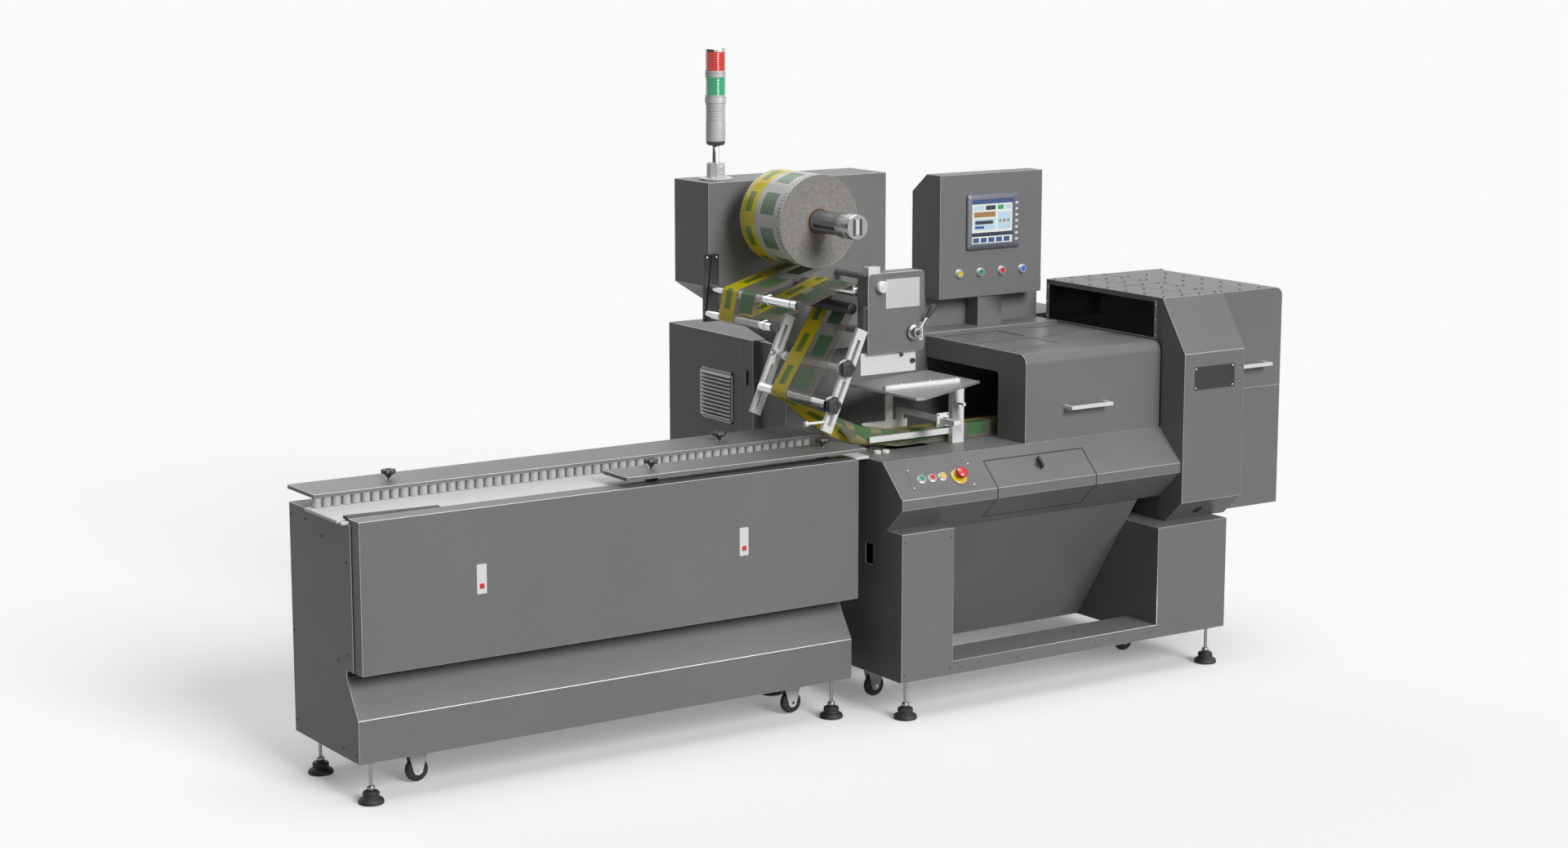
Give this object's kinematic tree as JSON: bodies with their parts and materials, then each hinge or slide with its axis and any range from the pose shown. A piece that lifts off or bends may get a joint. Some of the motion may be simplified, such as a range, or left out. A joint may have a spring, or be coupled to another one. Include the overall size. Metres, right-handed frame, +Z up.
{
  "type": "horizontal flow wrapper",
  "caption": "Horizontal form fill seal machine: infeed table with roller guide, film reel and forming unit, hooded fin seal and end-seal head.",
  "frame": {"origin": "middle of the machine's footprint on the floor", "axes": "+X along the product's way to the discharge, +Y to the back, +Z up"},
  "size_m": [3.623, 1.4046, 2.1707],
  "materials": {
    "steel": "satin",
    "white_paint": "satin",
    "bright_steel": "satin",
    "chrome": "polished",
    "rubber": "matte",
    "wheel": "matte",
    "roller": "satin",
    "bed": "satin",
    "red": "gloss",
    "green": "gloss",
    "yellow": "gloss",
    "blue": "gloss",
    "black": "matte",
    "smoked": "gloss",
    "screen": "gloss",
    "film": "gloss",
    "reel": "satin",
    "cast_iron": "satin",
    "lens_green": "gloss",
    "lens_red": "gloss",
    "tower": "satin"
  },
  "bodies": {
    "machine": {"infeed_frame": "steel", "infeed_bed": "bed", "infeed_chain": "cast_iron", "infeed_left_underframe": "bright_steel", "infeed_right_underframe": "bright_steel", "main_left_underframe": "bright_steel", "main_right_underframe": "bright_steel", "base_frame": "steel", "belly_panel": "steel", "main_body": "steel", "backbone_wall": "steel", "electrical_cabinet": "steel", "discharge_housing": "steel", "cover_window": "smoked", "column_cover": "steel", "control_box": "steel", "touch_panel": "screen", "film_box": "steel", "tower_base": "tower", "green_lens": "lens_green", "red_lens": "lens_red", "tension_gearbox": "steel", "forming_frame": "white_paint", "forming_plate": "bright_steel", "film_web": "film"},
    "front_cover": {"infeed_front_cover": "steel"},
    "rear_guide": {"rear_guide_plate": "steel", "guide_roller_rail": "roller"},
    "front_guide": {"front_guide_plate": "steel"},
    "drive_shaft": {"infeed_drive_shaft": "cast_iron"},
    "tail_shaft": {"infeed_tail_shaft": "cast_iron"},
    "infeed_left_caster": {"infeed_left_wheel": "wheel"},
    "infeed_right_caster": {"infeed_right_wheel": "wheel"},
    "main_left_caster": {"main_left_wheel": "wheel"},
    "main_right_caster": {"main_right_wheel": "wheel"},
    "console_door": {"beam_door": "steel"},
    "console_latch": {"beam_door_latch": "black"},
    "start_cap": {"start_button": "green"},
    "stop_cap": {"stop_button": "red"},
    "reset_cap": {"reset_button": "yellow"},
    "emergency_cap": {"emergency_stop": "red"},
    "cabinet_leaf": {"cabinet_door": "steel"},
    "hood": {"fin_seal_hood": "steel"},
    "seal_cover": {"end_seal_cover": "steel"},
    "yellow_cap": {"yellow_button": "yellow"},
    "green_cap": {"green_button": "green"},
    "red_cap": {"red_button": "red"},
    "blue_cap": {"blue_button": "blue"},
    "reel": {"film_shaft": "chrome", "film_roll": "reel"},
    "lever": {"tension_lever": "chrome"},
    "upper_bar": {"upper_idler_bar": "chrome"},
    "lower_bar": {"lower_idler_bar": "chrome"},
    "feed": {"feed_roller": "chrome"},
    "nip": {"nip_roller": "chrome"},
    "cross": {"cross_roller": "chrome"},
    "fin_front": {"fin_wheel_front": "chrome"},
    "fin_rear": {"fin_wheel_rear": "chrome"},
    "jaw_upper": {"upper_jaw": "cast_iron"},
    "jaw_lower": {"lower_jaw": "cast_iron"}
  },
  "joints": [
    {"name": "front_cover_hinge", "type": "hinge", "parent": "machine", "child": "front_cover", "pos_m": [-0.9015, -0.52005, 0.407], "axis": [1, 0, 0], "range_deg": [0, 90]},
    {"name": "rear_guide_slide", "type": "slide", "parent": "machine", "child": "rear_guide", "axis": [0, 1, 0], "range_m": [-0.035, 0.03]},
    {"name": "front_guide_slide", "type": "slide", "parent": "machine", "child": "front_guide", "axis": [0, 1, 0], "range_m": [0, 0.05]},
    {"name": "drive_shaft_spin", "type": "hinge", "parent": "machine", "child": "drive_shaft", "pos_m": [-0.0915, -0.29775, 0.785], "axis": [0, 1, 0], "continuous": true},
    {"name": "tail_shaft_spin", "type": "hinge", "parent": "machine", "child": "tail_shaft", "pos_m": [-1.6915, -0.29775, 0.785], "axis": [0, 1, 0], "continuous": true},
    {"name": "infeed_left_caster_spin", "type": "hinge", "parent": "machine", "child": "infeed_left_caster", "pos_m": [-1.5315, -0.39075, 0.0405], "axis": [0, 1, 0], "continuous": true},
    {"name": "infeed_right_caster_spin", "type": "hinge", "parent": "machine", "child": "infeed_right_caster", "pos_m": [-0.1615, -0.39075, 0.0405], "axis": [0, 1, 0], "continuous": true},
    {"name": "main_left_caster_spin", "type": "hinge", "parent": "machine", "child": "main_left_caster", "pos_m": [0.1915, -0.36875, 0.0405], "axis": [0, 1, 0], "continuous": true},
    {"name": "main_right_caster_spin", "type": "hinge", "parent": "machine", "child": "main_right_caster", "pos_m": [1.2885, -0.36875, 0.0405], "axis": [0, 1, 0], "continuous": true},
    {"name": "console_door_hinge", "type": "hinge", "parent": "machine", "child": "console_door", "pos_m": [0.6685, -0.61004, 0.63], "axis": [1, 0, 0], "range_deg": [0, 100]},
    {"name": "console_latch_turn", "type": "hinge", "parent": "console_door", "child": "console_latch", "pos_m": [0.6685, -0.64296, 0.78918], "axis": [0, -0.6991, 0.715], "range_deg": [0, 90]},
    {"name": "start_press", "type": "slide", "parent": "machine", "child": "start_cap", "axis": [0, 0.6991, -0.715], "range_m": [0, 0.004], "stiffness_N_per_m": 600, "springref_m": -0.001},
    {"name": "stop_press", "type": "slide", "parent": "machine", "child": "stop_cap", "axis": [0, 0.6991, -0.715], "range_m": [0, 0.004], "stiffness_N_per_m": 600, "springref_m": -0.001},
    {"name": "reset_press", "type": "slide", "parent": "machine", "child": "reset_cap", "axis": [0, 0.6991, -0.715], "range_m": [0, 0.004], "stiffness_N_per_m": 600, "springref_m": -0.001},
    {"name": "emergency_press", "type": "slide", "parent": "machine", "child": "emergency_cap", "axis": [0, 0.6991, -0.715], "range_m": [0, 0.006], "stiffness_N_per_m": 1200, "springref_m": -0.001},
    {"name": "cabinet_door_hinge", "type": "hinge", "parent": "machine", "child": "cabinet_leaf", "pos_m": [0.0985, 0.70225, 0.665], "axis": [0, 0, 1], "range_deg": [0, 110]},
    {"name": "hood_hinge", "type": "hinge", "parent": "machine", "child": "hood", "pos_m": [0.9485, -0.01805, 1.15], "axis": [-1, 0, 0], "range_deg": [0, 75]},
    {"name": "seal_cover_hinge", "type": "hinge", "parent": "machine", "child": "seal_cover", "pos_m": [1.6685, 0.05795, 1.298], "axis": [-1, 0, 0], "range_deg": [0, 70]},
    {"name": "yellow_press", "type": "slide", "parent": "machine", "child": "yellow_cap", "axis": [0, 1, 0], "range_m": [0, 0.004], "stiffness_N_per_m": 600, "springref_m": -0.001},
    {"name": "green_press", "type": "slide", "parent": "machine", "child": "green_cap", "axis": [0, 1, 0], "range_m": [0, 0.004], "stiffness_N_per_m": 600, "springref_m": -0.001},
    {"name": "red_press", "type": "slide", "parent": "machine", "child": "red_cap", "axis": [0, 1, 0], "range_m": [0, 0.004], "stiffness_N_per_m": 600, "springref_m": -0.001},
    {"name": "blue_press", "type": "slide", "parent": "machine", "child": "blue_cap", "axis": [0, 1, 0], "range_m": [0, 0.004], "stiffness_N_per_m": 600, "springref_m": -0.001},
    {"name": "reel_spin", "type": "hinge", "parent": "machine", "child": "reel", "pos_m": [-0.1035, -0.39775, 1.633], "axis": [0, 1, 0], "continuous": true},
    {"name": "tension_lever_turn", "type": "hinge", "parent": "machine", "child": "lever", "pos_m": [0.2125, -0.54775, 1.262], "axis": [0, 1, 0], "range_deg": [-90, 60]},
    {"name": "upper_bar_spin", "type": "hinge", "parent": "machine", "child": "upper_bar", "pos_m": [-0.3065, -0.34775, 1.398], "axis": [0, 1, 0], "continuous": true},
    {"name": "lower_bar_spin", "type": "hinge", "parent": "machine", "child": "lower_bar", "pos_m": [-0.3215, -0.34775, 1.318], "axis": [0, 1, 0], "continuous": true},
    {"name": "feed_roller_spin", "type": "hinge", "parent": "machine", "child": "feed", "pos_m": [0.0385, -0.34775, 1.402], "axis": [0, 1, 0], "continuous": true},
    {"name": "nip_roller_spin", "type": "hinge", "parent": "machine", "child": "nip", "pos_m": [0.0205, -0.34775, 1.343], "axis": [0, 1, 0], "continuous": true},
    {"name": "cross_roller_spin", "type": "hinge", "parent": "machine", "child": "cross", "pos_m": [-0.1165, -0.34775, 1.056], "axis": [0, 1, 0], "continuous": true},
    {"name": "fin_front_spin", "type": "hinge", "parent": "machine", "child": "fin_front", "pos_m": [0.2345, -0.38405, 0.8], "axis": [0, 0, 1], "continuous": true},
    {"name": "fin_rear_spin", "type": "hinge", "parent": "machine", "child": "fin_rear", "pos_m": [0.2345, -0.32345, 0.8], "axis": [0, 0, 1], "continuous": true},
    {"name": "upper_jaw_spin", "type": "hinge", "parent": "machine", "child": "jaw_upper", "pos_m": [1.5385, -0.34775, 0.9602], "axis": [0, 1, 0], "continuous": true},
    {"name": "lower_jaw_spin", "type": "hinge", "parent": "machine", "child": "jaw_lower", "pos_m": [1.5385, -0.34775, 0.8098], "axis": [0, 1, 0], "continuous": true}
  ],
  "couplings": [
    {"joint": "tail_shaft_spin", "follows": "drive_shaft_spin", "ratio": 1},
    {"joint": "upper_bar_spin", "follows": "reel_spin", "ratio": -10},
    {"joint": "lower_bar_spin", "follows": "reel_spin", "ratio": -10},
    {"joint": "feed_roller_spin", "follows": "reel_spin", "ratio": 7.5},
    {"joint": "nip_roller_spin", "follows": "reel_spin", "ratio": 8.3333},
    {"joint": "cross_roller_spin", "follows": "reel_spin", "ratio": -8.3333},
    {"joint": "fin_rear_spin", "follows": "fin_front_spin", "ratio": -1},
    {"joint": "lower_jaw_spin", "follows": "upper_jaw_spin", "ratio": -1}
  ]
}
